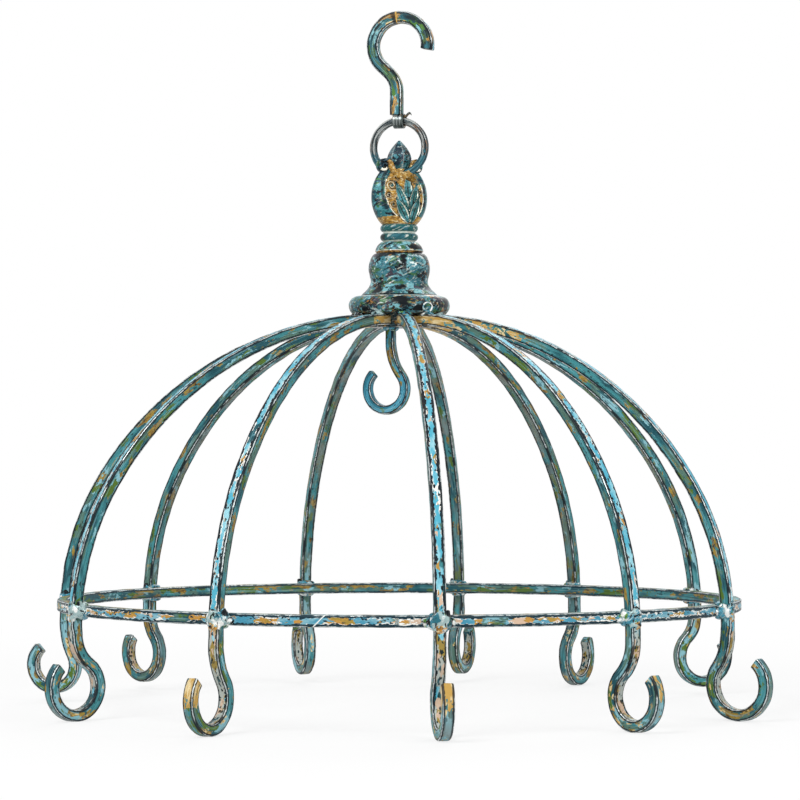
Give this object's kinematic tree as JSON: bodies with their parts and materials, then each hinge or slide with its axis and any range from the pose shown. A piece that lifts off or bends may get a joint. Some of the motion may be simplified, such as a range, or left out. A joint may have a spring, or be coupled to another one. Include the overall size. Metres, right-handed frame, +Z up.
{
  "type": "hanging herb drying rack",
  "caption": "Domed wrought metal drying rack with a ring of open hooks round its rim, a hook under its crown and a swinging hanger hook and link ring above a cast finial.",
  "frame": {"origin": "on the dome's axis, at the level that the long herb hooks stand on", "axes": "+Z up along the dome's axis, -Y towards the front rib, +X to the right seen from the front"},
  "size_m": [0.3953, 0.4137, 0.3746],
  "materials": {
    "rib_patina": "distressed teal paint with ochre, green, cyan and bare flecks",
    "hoop_patina": "distressed teal paint with ochre, cyan and bare flecks",
    "weld_metal": "lumpy weld beads under thin teal paint",
    "crown_patina": "dark teal paint",
    "cast_patina": "teal, cyan, green and plum patina on a casting",
    "stud_steel": "plain steel",
    "finial_patina": "ochre panel with teal leaves and worn edges",
    "small_hook_patina": "distressed teal paint",
    "ring_steel": "worn steel with teal and brown traces",
    "hanger_patina": "dark teal paint with green, cyan and ochre patches"
  },
  "bodies": {
    "rack": {"rib_01": "rib_patina", "rib_02": "rib_patina", "rib_03": "rib_patina", "rib_04": "rib_patina", "rib_05": "rib_patina", "rib_06": "rib_patina", "rib_07": "rib_patina", "rib_08": "rib_patina", "rib_09": "rib_patina", "rib_10": "rib_patina", "rib_11": "rib_patina", "hoop": "hoop_patina", "hoop_welds": "weld_metal", "crown_boss": "crown_patina", "crown_welds": "weld_metal", "bell_hub": "cast_patina", "hub_stud": "stud_steel", "finial": "finial_patina", "centre_hook": "small_hook_patina", "centre_weld": "weld_metal"},
    "link_ring": {"link_ring": "ring_steel"},
    "hanger_hook": {"hanger_hook": "hanger_patina"}
  },
  "joints": [
    {"name": "ring_swing", "type": "hinge", "parent": "rack", "child": "link_ring", "pos_m": [0, 0, 0.28689], "axis": [0.9659, -0.2588, 0], "range_deg": [-25, 25]},
    {"name": "hanger_swing", "type": "hinge", "parent": "link_ring", "child": "hanger_hook", "pos_m": [0, 0, 0.31549], "axis": [0.9659, -0.2588, 0], "range_deg": [-90, 90]}
  ]
}
